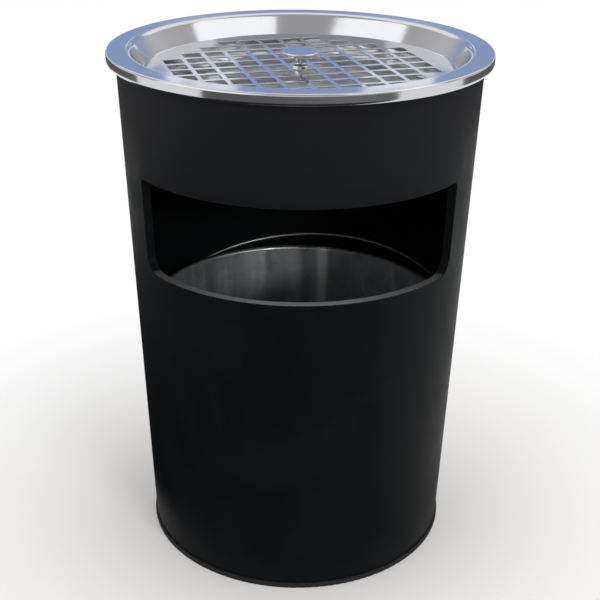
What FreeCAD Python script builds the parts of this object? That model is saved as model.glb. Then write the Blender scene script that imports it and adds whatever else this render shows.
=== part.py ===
import FreeCAD, Part
import math
import os

# Round litter bin with an ashtray top. A tapered black steel shell with a wide window stands on a
# soft floor ring. Inside is a lift-out galvanised liner with a bail. On top is a lift-off chromed
# dish with a perforated grid and a lifting knob. Millimetres and degrees, +Z up, window to -Y.

V = FreeCAD.Vector
ORIGIN = V(0, 0, 0)
UP = V(0, 0, 1)
FULL_TURN = 360.0
QUARTER_TURN = 90.0

# Whole bin and the gaps between its pieces
BIN_HEIGHT = 560.0
SEAT_GAP = 0.2
FIT_GAP = 0.2
CUT_OVERRUN = 5.0

# Shell
SHELL_TOP_RADIUS = 191.0
SHELL_BOTTOM_RADIUS = 170.0
SHELL_SHEET = 1.0
SHELL_HEM_HEIGHT = 10.0
HEM_FOLD_GAP = 0.2

# Litter window in the shell
WINDOW_BOTTOM_Z = 347.0
WINDOW_HEIGHT = 100.0
WINDOW_HALF_ANGLE = 57.8
WINDOW_TOP_CORNER = 6.0
WINDOW_BOTTOM_CORNER = 18.0
WINDOW_RETURN_DEPTH = 8.0
WINDOW_BEND = 0.8

# Floor ring
FLOOR_RING_HEIGHT = 6.5
FLOOR_RING_WEB = 2.0
FLOOR_RING_LEG = 1.4
FLOOR_RING_ROUND = 1.2

# Base pan
BASE_PAN_SHEET = 1.0
BASE_PAN_FOOT_GAP = 1.0
BASE_PAN_FLANGE = 8.5
BASE_PAN_BEND = 3.0
BASE_PAN_WELL_RADIUS = 124.0
BASE_PAN_WELL_DEPTH = 5.0
BASE_PAN_WELL_SLOPE = 8.0

# Liner
LINER_RIM_Z = 272.0
LINER_SIDE_ROOM = 19.6
LINER_TAPER = 12.6
LINER_SHEET = 0.8
LINER_BASE_RISE = 7.0
LINER_BASE_BEND = 2.5
LINER_BASE_WELL_RADIUS = 118.0
LINER_BASE_WELL_DEPTH = 3.0
LINER_BASE_WELL_SLOPE = 6.0
RIM_WIRE_RADIUS = 2.0
RIM_WIRE_GAP = 0.4
RIM_CURL_ROUND_SHARE = 0.96
LINER_SEAM_WIDTH = 10.0
LINER_SEAM_AZIMUTH = -6.0
LINER_TURN = 17.0

# Bail ears and their rivets
EAR_SHEET = 1.6
EAR_PAD_DROP = 36.0
EAR_PAD_HEIGHT = 16.0
EAR_PAD_WIDTH = 36.0
EAR_LUG_WIDTH = 20.0
EAR_JOGGLE_HEIGHT = 8.0
EAR_BEND = 3.0
EAR_CORNER = 4.0
EAR_LUG_ROUND_SHARE = 0.98
EAR_RIM_CLEARANCE = 1.0
RIVET_RADIUS = 2.0
RIVET_HEAD_RADIUS = 4.0
RIVET_HEAD_HEIGHT = 1.6
RIVET_FLAT_HEIGHT = 0.8
RIVET_SPACING = 20.0
RIVET_HOLE_GAP = 0.1
RIVET_SEAT_GAP = 0.15

# Bail
BAIL_WIRE_RADIUS = 2.25
BAIL_PIVOT_DROP = 26.0
BAIL_SIDE_GAP = 0.4
BAIL_LEG = 8.5
BAIL_BEND = 3.6
BAIL_HEAD_RADIUS = 3.8
BAIL_HEAD_LENGTH = 1.4
BAIL_HEAD_GAP = 0.5
BAIL_HOLE_GAP = 0.3
BAIL_REST_GAP = 0.4

# Ashtray dish
RIM_CLEARANCE = 2.0
RIM_CURL_WIDTH = 7.0
RIM_SKIRT_HEIGHT = 12.5
RIM_EDGE_ROUND = 2.2
RIM_CURL_ROUND = 4.6
RIM_CURL_RISE = 5.0
DISH_SHEET = 1.0
DISH_LIP_WIDTH = 23.5
DISH_MOUTH_SLOPE = 12.5
DISH_MOUTH_ROUND = 7.0
DISH_LEDGE_DEPTH = 22.8
DISH_LEDGE_WIDTH = 11.0
DISH_BOWL_DEPTH = 48.0
DISH_BOWL_SLOPE = 7.0
DISH_BOWL_ROUND = 14.0

# Ashtray grid
GRID_SHEET = 1.5
GRID_SIDE_GAP = 3.0
GRID_HOLE = 20.0
GRID_HOLE_CORNER = 1.6
GRID_PITCH = 25.0
GRID_TURN = 16.0
GRID_BORDER = 7.0
GRID_SEAT_MARGIN = 3.0

# Lifting knob on the grid, with its screw and washer
KNOB_RADIUS = 20.0
KNOB_HEIGHT = 15.5
KNOB_CAP_THICKNESS = 4.6
KNOB_CAP_ROUND = 1.2
KNOB_STEM_RADIUS = 7.0
KNOB_FOOT_RADIUS = 11.0
KNOB_FOOT_HEIGHT = 2.2
KNOB_FOOT_ROUND_SHARE = 0.5
KNOB_NECK_ROUND = 2.4
SCREW_RADIUS = 2.5
SCREW_DEPTH = 8.0
SCREW_HEAD_RADIUS = 4.6
SCREW_HEAD_HEIGHT = 3.0
SCREW_HEAD_ROUND = 1.2
SCREW_SLOT_WIDTH = 1.2
SCREW_SLOT_DEPTH = 1.4
SCREW_GAP = 0.1
WASHER_RADIUS = 7.5
WASHER_THICKNESS = 1.2

# Heights and radii of the shell and its base, which follow from the sizes above
SHELL_BOTTOM_Z = FLOOR_RING_WEB
SHELL_TOP_Z = BIN_HEIGHT - DISH_SHEET - SEAT_GAP
SHELL_SLOPE = (SHELL_TOP_RADIUS - SHELL_BOTTOM_RADIUS) / (SHELL_TOP_Z - SHELL_BOTTOM_Z)
WINDOW_TOP_Z = WINDOW_BOTTOM_Z + WINDOW_HEIGHT
BASE_PAN_FOOT_Z = FLOOR_RING_HEIGHT + BASE_PAN_FOOT_GAP
BASE_PAN_Z = BASE_PAN_FOOT_Z + BASE_PAN_FLANGE


def shell_radius(z):
    """Outer radius of the shell at a height."""
    return SHELL_BOTTOM_RADIUS + SHELL_SLOPE * (z - SHELL_BOTTOM_Z)


def shell_inside(z):
    """Inner radius of the shell at a height."""
    return shell_radius(z) - SHELL_SHEET


# The liner stands on the base pan, with room for its ears and bail inside the shell
LINER_BOTTOM_Z = BASE_PAN_Z + SEAT_GAP
LINER_TOP_RADIUS = shell_inside(LINER_RIM_Z) - LINER_SIDE_ROOM
LINER_SLOPE = LINER_TAPER / (LINER_RIM_Z - LINER_BOTTOM_Z)
RIM_CURL_OUTER = RIM_WIRE_RADIUS + RIM_WIRE_GAP + LINER_SHEET
RIM_WIRE_Z = LINER_RIM_Z - RIM_CURL_OUTER


def liner_inside(z):
    """Inner radius of the liner at a height."""
    return LINER_TOP_RADIUS + LINER_SLOPE * (z - LINER_RIM_Z)


def liner_outside(z):
    """Outer radius of the liner at a height."""
    return liner_inside(z) + LINER_SHEET


# The ears clear the liner's curl, and the bail clears the ears
LINER_CURL_RADIUS = liner_inside(RIM_WIRE_Z) + 2 * RIM_CURL_OUTER
BAIL_PIVOT_Z = LINER_RIM_Z - BAIL_PIVOT_DROP
EAR_PAD_Z = BAIL_PIVOT_Z - EAR_PAD_DROP
EAR_LUG_INSIDE = LINER_CURL_RADIUS + EAR_RIM_CLEARANCE
EAR_LUG_OUTSIDE = EAR_LUG_INSIDE + EAR_SHEET
BAIL_HALF_WIDTH = EAR_LUG_OUTSIDE + BAIL_SIDE_GAP + BAIL_BEND
BAIL_REACH = BAIL_HALF_WIDTH + BAIL_LEG


def bail_lean():
    """Angle above level at which the bail, laid back, comes to the shell's back wall."""
    room = shell_inside(BAIL_PIVOT_Z) - BAIL_WIRE_RADIUS - BAIL_REST_GAP
    reach = BAIL_REACH * math.hypot(1, SHELL_SLOPE)
    return math.degrees(math.acos(min(room / reach, 1)) - math.atan(SHELL_SLOPE))


# The dish hangs its curled rim over the shell, and each part of it steps inwards from there
RIM_CURL_RADIUS = SHELL_TOP_RADIUS + RIM_CLEARANCE
RIM_RADIUS = RIM_CURL_RADIUS + RIM_CURL_WIDTH
DISH_MOUTH_RADIUS = RIM_RADIUS - DISH_LIP_WIDTH
DISH_LEDGE_RADIUS = DISH_MOUTH_RADIUS - DISH_MOUTH_SLOPE
DISH_WELL_RADIUS = DISH_LEDGE_RADIUS - DISH_LEDGE_WIDTH
DISH_BOWL_RADIUS = DISH_WELL_RADIUS - DISH_BOWL_SLOPE
LEDGE_Z = BIN_HEIGHT - DISH_LEDGE_DEPTH
BOWL_Z = BIN_HEIGHT - DISH_BOWL_DEPTH
GRID_BOTTOM_Z = LEDGE_Z + SEAT_GAP
GRID_TOP_Z = GRID_BOTTOM_Z + GRID_SHEET
GRID_RADIUS = DISH_LEDGE_RADIUS - GRID_SIDE_GAP
GRID_SEAT_RADIUS = KNOB_FOOT_RADIUS + GRID_SEAT_MARGIN


# Profiles: points are (radius, height), drawn in the XZ plane and turned about Z
def point(pair):
    """A profile point in the XZ plane."""
    return V(pair[0], 0, pair[1])


def turn_of(before, at, after):
    """Signed turn of a path at a corner, in radians, left turns positive."""
    heading_in = math.atan2(at[1] - before[1], at[0] - before[0])
    heading_out = math.atan2(after[1] - at[1], after[0] - at[0])
    return math.remainder(heading_out - heading_in, 2 * math.pi)


def rounded_edges(points, rounds):
    """Edges along a profile path, with a tangent arc of the given radius at each inner corner."""
    edges = []
    start = point(points[0])
    for before, at, after, radius in zip(points, points[1:], points[2:], rounds):
        corner = point(at)
        turn = turn_of(before, at, after)
        back = (point(before) - corner).normalize()
        ahead = (point(after) - corner).normalize()
        if radius > 0:
            reach = radius * math.tan(abs(turn) / 2)
            to_middle = radius / math.cos(turn / 2) - radius
            arc_start = corner + back * reach
            arc_end = corner + ahead * reach
            arc_middle = corner + (back + ahead).normalize() * to_middle
            if (arc_start - start).Length > Part.Precision.confusion():
                edges.append(Part.LineSegment(start, arc_start).toShape())
            edges.append(Part.Arc(arc_start, arc_middle, arc_end).toShape())
            start = arc_end
        else:
            edges.append(Part.LineSegment(start, corner).toShape())
            start = corner
    end = point(points[-1])
    if (end - start).Length > Part.Precision.confusion():
        edges.append(Part.LineSegment(start, end).toShape())
    return edges


def left_of(points, distance):
    """The path's points moved to its left by a distance, mitred at the corners."""
    moved = []
    last = len(points) - 1
    for i, at in enumerate(points):
        before = points[max(i - 1, 0)]
        after = points[min(i + 1, last)]
        if i == 0:
            before = (2 * at[0] - after[0], 2 * at[1] - after[1])
        if i == last:
            after = (2 * at[0] - before[0], 2 * at[1] - before[1])
        half = turn_of(before, at, after) / 2
        heading = math.atan2(at[1] - before[1], at[0] - before[0]) + half + math.radians(QUARTER_TURN)
        miter = distance / math.cos(half)
        moved.append((at[0] + miter * math.cos(heading), at[1] + miter * math.sin(heading)))
    return moved


def left_rounds(points, rounds, distance):
    """Corner radii of the path that lies to the left of a rounded path by a distance."""
    corners = zip(points, points[1:], points[2:], rounds)
    moved = []
    for before, at, after, radius in corners:
        change = -distance if turn_of(before, at, after) > 0 else distance
        moved.append(max(radius + change, 0) if radius > 0 else 0)
    return moved


def closed_face(edges):
    """A face inside edges that close on each other."""
    return Part.Face(Part.Wire(Part.__sortEdges__(edges)))


def sheet_section(points, rounds, thickness):
    """Section of bent sheet: a path along one side, and the sheet's thickness to its left."""
    other = left_of(points, thickness)
    edges = rounded_edges(points, rounds)
    edges += rounded_edges(other, left_rounds(points, rounds, thickness))
    edges.append(Part.LineSegment(point(points[0]), point(other[0])).toShape())
    edges.append(Part.LineSegment(point(points[-1]), point(other[-1])).toShape())
    return closed_face(edges)


def outline_section(points, rounds):
    """Section inside a closed outline, with one corner radius for each point but the first."""
    loop = points + [points[0]]
    return closed_face(rounded_edges(loop, rounds))


def turned(section, angle=FULL_TURN):
    """A section turned about the bin's axis, in the middle of its angle when it is part of a turn."""
    solid = section.revolve(ORIGIN, UP, angle)
    if angle < FULL_TURN:
        solid.rotate(ORIGIN, UP, -angle / 2)
    return solid


def facing_front(shape):
    """Turns a shape made towards +X to the bin's front, -Y."""
    turned_shape = shape.copy()
    turned_shape.rotate(ORIGIN, UP, -QUARTER_TURN)
    return turned_shape


def on_both_sides(shape):
    """A shape made towards +X and its copy towards -X."""
    other = shape.copy()
    other.rotate(ORIGIN, UP, 2 * QUARTER_TURN)
    return shape, other


def set_in(shape):
    """Turns a shape made on the liner's own axes to the way that the liner stands in the shell."""
    turned_shape = shape.copy()
    turned_shape.rotate(ORIGIN, UP, -LINER_TURN)
    return turned_shape


# Shell, rolled from sheet: hemmed top edge, window with its edge turned in
def window_block(margin):
    """The window as a radial block through the shell, grown by a margin on every side."""
    inside = shell_inside(WINDOW_BOTTOM_Z) - WINDOW_RETURN_DEPTH - CUT_OVERRUN
    outside = shell_radius(WINDOW_TOP_Z) + CUT_OVERRUN
    low = WINDOW_BOTTOM_Z - margin
    high = WINDOW_TOP_Z + margin
    middle = (low + high) / 2
    angle = 2 * (WINDOW_HALF_ANGLE + math.degrees(margin / shell_radius(middle)))
    corners = [(inside, low), (outside, low), (outside, high), (inside, high)]
    block = turned(outline_section(corners, [0, 0, 0]), angle)
    low_edges = [e for e in level_edges(block) if e.CenterOfMass.z < middle]
    block = block.makeFillet(WINDOW_BOTTOM_CORNER + margin, low_edges)
    high_edges = [e for e in level_edges(block) if e.CenterOfMass.z > middle]
    block = block.makeFillet(WINDOW_TOP_CORNER + margin, high_edges)
    return facing_front(block)


def level_edges(shape):
    """The straight level edges of a shape, which run towards the axis on a radial block."""
    level = []
    for edge in shape.Edges:
        first, last = edge.Vertexes[0].Point, edge.Vertexes[-1].Point
        if isinstance(edge.Curve, Part.Line) and abs(first.z - last.z) < Part.Precision.confusion():
            level.append(edge)
    return level


def outer_shell():
    hem_width = 2 * SHELL_SHEET + HEM_FOLD_GAP
    hem_round = hem_width / 2
    path = [
        (SHELL_BOTTOM_RADIUS, SHELL_BOTTOM_Z),
        (SHELL_TOP_RADIUS, SHELL_TOP_Z),
        (SHELL_TOP_RADIUS - hem_width, SHELL_TOP_Z),
        (shell_radius(SHELL_TOP_Z - SHELL_HEM_HEIGHT) - hem_width, SHELL_TOP_Z - SHELL_HEM_HEIGHT),
    ]
    wall = turned(sheet_section(path, [hem_round, hem_round], SHELL_SHEET))
    void = window_block(0)
    shell = wall.cut(void).fuse(window_return(void)).removeSplitter()
    return shell.makeFillet(WINDOW_BEND, window_rim(shell, void))


def window_return(void):
    """The window's edge, turned in towards the axis all round."""
    low = WINDOW_BOTTOM_Z - SHELL_SHEET
    high = WINDOW_TOP_Z + SHELL_SHEET
    band = [
        (shell_inside(low) - WINDOW_RETURN_DEPTH, low),
        (shell_inside(low), low),
        (shell_inside(high), high),
        (shell_inside(high) - WINDOW_RETURN_DEPTH, high),
    ]
    ring = turned(outline_section(band, [0, 0, 0]))
    return window_block(SHELL_SHEET).common(ring).cut(void)


def window_rim(shell, void):
    """The edges round the window on the shell's outer face."""
    rim = []
    for edge in shell.Edges:
        middle = edge.valueAt((edge.FirstParameter + edge.LastParameter) / 2)
        on_face = abs(math.hypot(middle.x, middle.y) - shell_radius(middle.z)) < SHELL_SHEET / 4
        if on_face and void.distToShape(Part.Vertex(middle))[0] < SHELL_SHEET / 4:
            rim.append(edge)
    return rim


# Floor ring, a soft moulded channel pressed on the shell's lower edge
def floor_ring():
    slot_inside = shell_inside(SHELL_BOTTOM_Z) - FIT_GAP
    slot_outside = shell_radius(FLOOR_RING_HEIGHT) + FIT_GAP
    inner = slot_inside - FLOOR_RING_LEG
    outer = slot_outside + FLOOR_RING_LEG
    outline = [
        (inner, 0),
        (outer, 0),
        (outer, FLOOR_RING_HEIGHT),
        (slot_outside, FLOOR_RING_HEIGHT),
        (slot_outside, FLOOR_RING_WEB),
        (slot_inside, FLOOR_RING_WEB),
        (slot_inside, FLOOR_RING_HEIGHT),
        (inner, FLOOR_RING_HEIGHT),
    ]
    return turned(outline_section(outline, [FLOOR_RING_ROUND, FLOOR_RING_ROUND, 0, 0, 0, 0, 0]))


# Base pan, pressed, with a turned-down flange welded inside the shell and a sunk middle
def base_pan():
    path = [
        (shell_inside(BASE_PAN_FOOT_Z) - FIT_GAP, BASE_PAN_FOOT_Z),
        (shell_inside(BASE_PAN_Z) - FIT_GAP, BASE_PAN_Z),
        (BASE_PAN_WELL_RADIUS + BASE_PAN_WELL_SLOPE, BASE_PAN_Z),
        (BASE_PAN_WELL_RADIUS, BASE_PAN_Z - BASE_PAN_WELL_DEPTH),
        (0, BASE_PAN_Z - BASE_PAN_WELL_DEPTH),
    ]
    return turned(sheet_section(path, [BASE_PAN_BEND, BASE_PAN_BEND, BASE_PAN_BEND], BASE_PAN_SHEET))


# Liner wall, its top edge rolled round a wire
def liner_wall():
    curl_low = LINER_RIM_Z - 2 * RIM_CURL_OUTER
    path = [
        (liner_outside(curl_low) + FIT_GAP, curl_low),
        (LINER_CURL_RADIUS, curl_low),
        (LINER_CURL_RADIUS, LINER_RIM_Z),
        (liner_inside(LINER_RIM_Z), LINER_RIM_Z),
        (liner_inside(LINER_BOTTOM_Z), LINER_BOTTOM_Z),
    ]
    curl_round = RIM_CURL_OUTER * RIM_CURL_ROUND_SHARE
    wall = turned(sheet_section(path, [curl_round, curl_round, curl_round], LINER_SHEET))
    wall = wall.fuse(liner_seam())
    for hole in rivet_places(rivet_hole()):
        wall = wall.cut(hole)
    return wall


def liner_seam():
    """The lap where the rolled sheet meets itself, inside the wall from the base to below the curl."""
    low = LINER_BOTTOM_Z + LINER_BASE_RISE + LINER_SHEET
    high = LINER_RIM_Z - 2 * RIM_CURL_OUTER
    path = [(liner_inside(low), low), (liner_inside(high), high)]
    angle = math.degrees(LINER_SEAM_WIDTH / LINER_TOP_RADIUS)
    lap = turned(sheet_section(path, [], LINER_SHEET), angle)
    lap.rotate(ORIGIN, UP, QUARTER_TURN - LINER_SEAM_AZIMUTH)
    return set_in(lap)


def liner_rim_wire():
    centre = liner_inside(RIM_WIRE_Z) + RIM_CURL_OUTER
    return Part.makeTorus(centre, RIM_WIRE_RADIUS, V(0, 0, RIM_WIRE_Z), UP)


# Liner base, set up inside the wall, with its flange turned down to the wall's lower edge
def liner_base():
    plate_z = LINER_BOTTOM_Z + LINER_BASE_RISE
    path = [
        (liner_inside(LINER_BOTTOM_Z) - FIT_GAP, LINER_BOTTOM_Z),
        (liner_inside(plate_z) - FIT_GAP, plate_z),
        (LINER_BASE_WELL_RADIUS + LINER_BASE_WELL_SLOPE, plate_z),
        (LINER_BASE_WELL_RADIUS, plate_z - LINER_BASE_WELL_DEPTH),
        (0, plate_z - LINER_BASE_WELL_DEPTH),
    ]
    return turned(sheet_section(path, [LINER_BASE_BEND, LINER_BASE_BEND, LINER_BASE_BEND], LINER_SHEET))


# Ears: a curved pad riveted to the liner, stepped out to a lug that carries the bail
def ear_blank():
    """The ear towards +X, as bent strip turned about the liner's axis."""
    pad_top = EAR_PAD_Z + EAR_PAD_HEIGHT
    lug_top = BAIL_PIVOT_Z + EAR_LUG_WIDTH / 2
    path = [
        (EAR_LUG_INSIDE, lug_top),
        (EAR_LUG_INSIDE, pad_top + EAR_JOGGLE_HEIGHT),
        (liner_outside(pad_top) + FIT_GAP, pad_top),
        (liner_outside(EAR_PAD_Z) + FIT_GAP, EAR_PAD_Z),
    ]
    angle = 2 * math.degrees(EAR_PAD_WIDTH / EAR_LUG_INSIDE)
    return turned(sheet_section(path, [EAR_BEND, EAR_BEND], EAR_SHEET), angle)


def ear_outline():
    """The ear seen along X: a wide pad with round corners, a neck and a round-ended lug."""
    half_pad = EAR_PAD_WIDTH / 2
    half_lug = EAR_LUG_WIDTH / 2
    pad_top = EAR_PAD_Z + EAR_PAD_HEIGHT
    shoulder = pad_top + EAR_JOGGLE_HEIGHT
    outline = [
        (0, EAR_PAD_Z),
        (half_pad, EAR_PAD_Z),
        (half_pad, pad_top),
        (half_lug, shoulder),
        (half_lug, BAIL_PIVOT_Z + half_lug),
        (-half_lug, BAIL_PIVOT_Z + half_lug),
        (-half_lug, shoulder),
        (-half_pad, pad_top),
        (-half_pad, EAR_PAD_Z),
    ]
    rounds = [EAR_CORNER, EAR_CORNER, EAR_CORNER]
    lug_round = half_lug * EAR_LUG_ROUND_SHARE
    face = outline_section(outline, rounds + [lug_round, lug_round] + rounds)
    face.rotate(ORIGIN, UP, QUARTER_TURN)
    return face.extrude(V(EAR_LUG_OUTSIDE + CUT_OVERRUN, 0, 0))


def bail_hole():
    """The hole for the bail through the ear towards +X."""
    return Part.makeCylinder(
        BAIL_WIRE_RADIUS + BAIL_HOLE_GAP, EAR_LUG_OUTSIDE, V(0, 0, BAIL_PIVOT_Z), V(1, 0, 0)
    )


def bail_ears():
    ear = ear_blank().common(ear_outline()).cut(bail_hole())
    for hole in rivet_angles(rivet_hole()):
        ear = ear.cut(hole)
    return on_both_sides(set_in(ear))


def rivet_frame(shape):
    """Moves a shape made along X at the origin to the ear pad's middle, square to the liner's wall."""
    middle = EAR_PAD_Z + EAR_PAD_HEIGHT / 2
    placed = shape.copy()
    placed.rotate(ORIGIN, V(0, 1, 0), math.degrees(math.atan(LINER_SLOPE)))
    placed.translate(V(liner_outside(middle), 0, middle))
    return placed


def rivet_angles(shape):
    """The shape at both rivet places of the ear towards +X."""
    angle = math.degrees(RIVET_SPACING / 2 / liner_outside(EAR_PAD_Z))
    placed = []
    for side in (-angle, angle):
        one = rivet_frame(shape)
        one.rotate(ORIGIN, UP, side)
        placed.append(one)
    return placed


def rivet_places(shape):
    """The shape at all four rivet places."""
    return [both for one in rivet_angles(shape) for both in on_both_sides(set_in(one))]


def rivet_hole():
    length = LINER_SHEET + FIT_GAP + EAR_SHEET + 2 * CUT_OVERRUN
    start = V(-LINER_SHEET - CUT_OVERRUN, 0, 0)
    return Part.makeCylinder(RIVET_RADIUS + RIVET_HOLE_GAP, length, start, V(1, 0, 0))


def rivet():
    """A rivet along X: shank through liner and ear, flat head inside, domed head outside."""
    along = V(1, 0, 0)
    inside = -LINER_SHEET - RIVET_SEAT_GAP
    outside = FIT_GAP + EAR_SHEET + RIVET_SEAT_GAP
    shank = Part.makeCylinder(RIVET_RADIUS, outside - inside, V(inside, 0, 0), along)
    flat = Part.makeCylinder(RIVET_HEAD_RADIUS, RIVET_FLAT_HEIGHT, V(inside - RIVET_FLAT_HEIGHT, 0, 0), along)
    dome_radius = (RIVET_HEAD_RADIUS**2 + RIVET_HEAD_HEIGHT**2) / (2 * RIVET_HEAD_HEIGHT)
    ball = Part.makeSphere(dome_radius, V(outside + RIVET_HEAD_HEIGHT - dome_radius, 0, 0))
    dome = ball.common(Part.makeCylinder(RIVET_HEAD_RADIUS, RIVET_HEAD_HEIGHT, V(outside, 0, 0), along))
    return shank.fuse([flat, dome]).removeSplitter()


def ear_rivets():
    return Part.makeCompound(rivet_places(rivet()))


# Bail: one wire, headed inside each ear, bent up into a half hoop and laid back on the shell
def bail_wire():
    pin_start = EAR_LUG_INSIDE - BAIL_HEAD_GAP - BAIL_HEAD_LENGTH
    inset = BAIL_BEND * (1 - math.sqrt(0.5))
    hoop_ends = []
    edges = []
    for side in (1, -1):
        tip = V(side * pin_start, 0, 0)
        bend_start = V(side * (BAIL_HALF_WIDTH - BAIL_BEND), 0, 0)
        bend_end = V(side * BAIL_HALF_WIDTH, BAIL_BEND, 0)
        bend_middle = V(side * (BAIL_HALF_WIDTH - inset), inset, 0)
        leg_end = V(side * BAIL_HALF_WIDTH, BAIL_LEG, 0)
        edges.append(Part.LineSegment(tip, bend_start).toShape())
        edges.append(Part.Arc(bend_start, bend_middle, bend_end).toShape())
        edges.append(Part.LineSegment(bend_end, leg_end).toShape())
        hoop_ends.append(leg_end)
    edges.append(Part.Arc(hoop_ends[0], V(0, BAIL_REACH, 0), hoop_ends[1]).toShape())
    route = Part.Wire(Part.__sortEdges__(edges))
    ring = Part.Wire(Part.makeCircle(BAIL_WIRE_RADIUS, V(pin_start, 0, 0), V(1, 0, 0)))
    wire = route.makePipeShell([ring], True, False)
    heads = []
    for side in (1, -1):
        start = V(side * pin_start, 0, 0)
        heads.append(Part.makeCylinder(BAIL_HEAD_RADIUS, BAIL_HEAD_LENGTH, start, V(side, 0, 0)))
    bail = wire.fuse(heads).removeSplitter()
    bail.rotate(ORIGIN, V(1, 0, 0), bail_lean())
    bail.translate(V(0, 0, BAIL_PIVOT_Z))
    return set_in(bail)


# Ashtray dish, spun from sheet: curled rim, flat lip, sloping mouth, ledge for the grid, bowl.
# The bends that the rim and the grid hide are left sharp.
def ashtray_dish():
    skirt_low = BIN_HEIGHT - RIM_SKIRT_HEIGHT
    path = [
        (RIM_CURL_RADIUS, skirt_low + RIM_CURL_RISE),
        (RIM_CURL_RADIUS, skirt_low),
        (RIM_RADIUS, skirt_low),
        (RIM_RADIUS, BIN_HEIGHT),
        (DISH_MOUTH_RADIUS, BIN_HEIGHT),
        (DISH_LEDGE_RADIUS, LEDGE_Z),
        (DISH_WELL_RADIUS, LEDGE_Z),
        (DISH_BOWL_RADIUS, BOWL_Z),
        (0, BOWL_Z),
    ]
    rounds = [0, RIM_CURL_ROUND, RIM_EDGE_ROUND, DISH_MOUTH_ROUND, 0, 0, DISH_BOWL_ROUND]
    return turned(sheet_section(path, rounds, DISH_SHEET))


# Grid: a plain disc punched with square holes, none cut by its border or by the knob's seat
def grid_hole_centres():
    """Centres of the square holes that fit between the border and the knob's seat."""
    farthest = GRID_RADIUS - GRID_BORDER
    rows = int(GRID_RADIUS / GRID_PITCH) + 1
    centres = []
    for column in range(-rows, rows + 1):
        for row in range(-rows, rows + 1):
            x, y = column * GRID_PITCH, row * GRID_PITCH
            far_corner = math.hypot(abs(x) + GRID_HOLE / 2, abs(y) + GRID_HOLE / 2)
            near_side = math.hypot(x, y) - GRID_HOLE / 2
            if far_corner <= farthest and near_side >= GRID_SEAT_RADIUS:
                centres.append((x, y))
    return centres


def grid_hole():
    """Outline of one square hole with rounded corners, about the origin in the XY plane."""
    half = GRID_HOLE / 2
    outline = [(0, -half), (half, -half), (half, half), (-half, half), (-half, -half)]
    corners = [GRID_HOLE_CORNER for corner in outline[1:]]
    hole = outline_section(outline, corners).OuterWire
    hole.rotate(ORIGIN, V(1, 0, 0), -QUARTER_TURN)
    return hole


def ashtray_grid():
    middle = V(0, 0, GRID_BOTTOM_Z)
    wires = [
        Part.Wire(Part.makeCircle(GRID_RADIUS, middle)),
        Part.Wire(Part.makeCircle(SCREW_RADIUS + SCREW_GAP, middle)),
    ]
    for x, y in grid_hole_centres():
        wires.append(grid_hole().translated(middle + V(x, y, 0)))
    plate = Part.Face(wires, "Part::FaceMakerBullseye").extrude(V(0, 0, GRID_SHEET))
    plate.rotate(ORIGIN, UP, GRID_TURN)
    return plate


# Knob: turned, with a flat cap to pull on, a waisted stem and a foot, drilled for its screw
def grid_knob():
    low = GRID_TOP_Z
    high = low + KNOB_HEIGHT
    cap_low = high - KNOB_CAP_THICKNESS
    foot_high = low + KNOB_FOOT_HEIGHT
    outline = [
        (0, low),
        (KNOB_FOOT_RADIUS, low),
        (KNOB_FOOT_RADIUS, foot_high),
        (KNOB_STEM_RADIUS, foot_high),
        (KNOB_STEM_RADIUS, cap_low),
        (KNOB_RADIUS, cap_low),
        (KNOB_RADIUS, high),
        (0, high),
    ]
    foot_round = KNOB_FOOT_HEIGHT * KNOB_FOOT_ROUND_SHARE
    rounds = [0, foot_round, KNOB_NECK_ROUND, KNOB_NECK_ROUND, KNOB_CAP_ROUND, KNOB_CAP_ROUND, 0]
    knob = turned(outline_section(outline, rounds))
    drilling = Part.makeCylinder(SCREW_RADIUS + SCREW_GAP, SCREW_DEPTH + SCREW_GAP, V(0, 0, low))
    return knob.cut(drilling)


def knob_washer():
    low = GRID_BOTTOM_Z - WASHER_THICKNESS
    disc = Part.makeCylinder(WASHER_RADIUS, WASHER_THICKNESS, V(0, 0, low))
    return disc.cut(Part.makeCylinder(SCREW_RADIUS + SCREW_GAP, WASHER_THICKNESS, V(0, 0, low)))


def knob_screw():
    head_high = GRID_BOTTOM_Z - WASHER_THICKNESS
    head_low = head_high - SCREW_HEAD_HEIGHT
    tip = GRID_TOP_Z + SCREW_DEPTH
    outline = [
        (0, head_low),
        (SCREW_HEAD_RADIUS, head_low),
        (SCREW_HEAD_RADIUS, head_high),
        (SCREW_RADIUS, head_high),
        (SCREW_RADIUS, tip),
        (0, tip),
    ]
    screw = turned(outline_section(outline, [SCREW_HEAD_ROUND, 0, 0, 0, 0]))
    slot = Part.makeBox(2 * SCREW_HEAD_RADIUS, SCREW_SLOT_WIDTH, SCREW_SLOT_DEPTH)
    slot.translate(V(-SCREW_HEAD_RADIUS, -SCREW_SLOT_WIDTH / 2, head_low))
    return screw.cut(slot)


def all_pieces():
    """Every piece of the bin, by the name of its node."""
    ear_right, ear_left = bail_ears()
    return {
        "outer_shell": outer_shell(),
        "floor_ring": floor_ring(),
        "base_pan": base_pan(),
        "liner_wall": liner_wall(),
        "liner_rim_wire": liner_rim_wire(),
        "liner_base": liner_base(),
        "bail_ear_right": ear_right,
        "bail_ear_left": ear_left,
        "ear_rivets": ear_rivets(),
        "bail_wire": bail_wire(),
        "ashtray_dish": ashtray_dish(),
        "ashtray_grid": ashtray_grid(),
        "grid_knob": grid_knob(),
        "knob_washer": knob_washer(),
        "knob_screw": knob_screw(),
    }


def main():
    os.makedirs("parts", exist_ok=True)
    for name, shape in all_pieces().items():
        shape.exportStep(os.path.join("parts", name + ".step"))
        print(f"{name}: solids {len(shape.Solids)}, valid {shape.isValid()}")
    print(f"bail leans {bail_lean():.2f} degrees, {len(grid_hole_centres())} holes in the grid")


main()
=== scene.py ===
import math

import bmesh
import bpy
from mathutils import Matrix, Vector


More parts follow.
